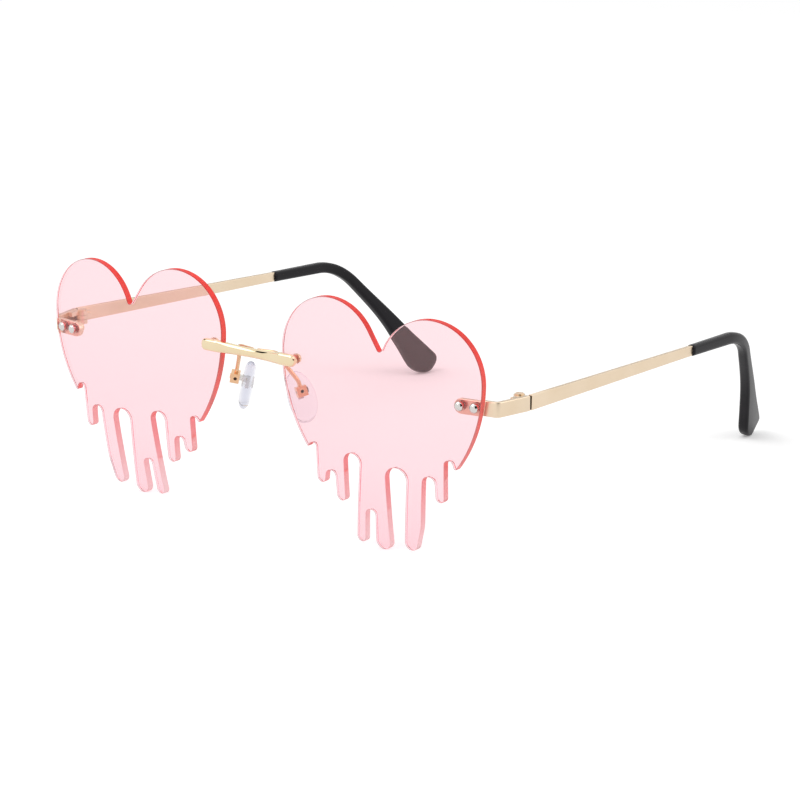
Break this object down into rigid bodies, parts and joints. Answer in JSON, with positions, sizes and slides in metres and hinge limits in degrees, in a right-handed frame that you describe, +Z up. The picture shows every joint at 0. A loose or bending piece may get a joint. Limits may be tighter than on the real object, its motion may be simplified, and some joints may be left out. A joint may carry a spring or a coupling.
{
  "type": "heart shaped sunglasses",
  "caption": "Rimless sunglasses with heart shaped tinted lenses that end in drips, a metal bridge, rocking nose pads, folding temples on screw hinges and plastic ear tips.",
  "frame": {"origin": "on the floor under the middle of the glasses' bounding box", "axes": "the front faces -Y, the temples run back along +Y, +Z is up, +X is the wearer's left"},
  "size_m": [0.136, 0.1398, 0.0566],
  "materials": {
    "tinted_lens": "polished",
    "gold_metal": "polished",
    "steel_screw": "polished",
    "black_tip": "satin",
    "clear_pad": "satin",
    "clear_bushing": "gloss"
  },
  "bodies": {
    "front": {"bridge": "gold_metal", "lens_left": "tinted_lens", "lens_right": "tinted_lens", "lens_bushing_left": "clear_bushing", "lens_bushing_right": "clear_bushing", "lens_screw_left": "steel_screw", "lens_screw_right": "steel_screw", "lens_nut_left": "gold_metal", "lens_nut_right": "gold_metal", "bridge_bushing_left": "clear_bushing", "bridge_bushing_right": "clear_bushing", "bridge_nut_left": "gold_metal", "bridge_nut_right": "gold_metal", "end_piece_left": "gold_metal", "end_piece_right": "gold_metal", "hinge_front_left": "gold_metal", "hinge_front_right": "gold_metal", "hinge_screw_left": "steel_screw", "hinge_screw_right": "steel_screw", "nose_arm_left": "gold_metal", "nose_arm_right": "gold_metal", "pad_box_left": "gold_metal", "pad_box_right": "gold_metal", "pad_screw_left": "steel_screw", "pad_screw_right": "steel_screw"},
    "temple_left": {"hinge_rear_left": "gold_metal", "temple_left": "gold_metal", "temple_tip_left": "black_tip"},
    "temple_right": {"hinge_rear_right": "gold_metal", "temple_right": "gold_metal", "temple_tip_right": "black_tip"},
    "nose_pad_left": {"pad_mount_left": "steel_screw", "nose_pad_left": "clear_pad"},
    "nose_pad_right": {"pad_mount_right": "steel_screw", "nose_pad_right": "clear_pad"}
  },
  "joints": [
    {"name": "temple_left_fold", "type": "hinge", "parent": "front", "child": "temple_left", "pos_m": [0.06499, -0.05414, 0.03671], "axis": [0, 0, 1], "range_deg": [0, 86]},
    {"name": "temple_right_fold", "type": "hinge", "parent": "front", "child": "temple_right", "pos_m": [-0.06499, -0.05414, 0.03671], "axis": [0, 0, -1], "range_deg": [0, 78]},
    {"name": "nose_pad_left_rock", "type": "hinge", "parent": "front", "child": "nose_pad_left", "pos_m": [0.0102, -0.06174, 0.03186], "axis": [0.5595, 0.7976, 0.2256], "range_deg": [-10, 10]},
    {"name": "nose_pad_right_rock", "type": "hinge", "parent": "front", "child": "nose_pad_right", "pos_m": [-0.0102, -0.06174, 0.03186], "axis": [0.5595, -0.7976, -0.2256], "range_deg": [-10, 10]}
  ]
}
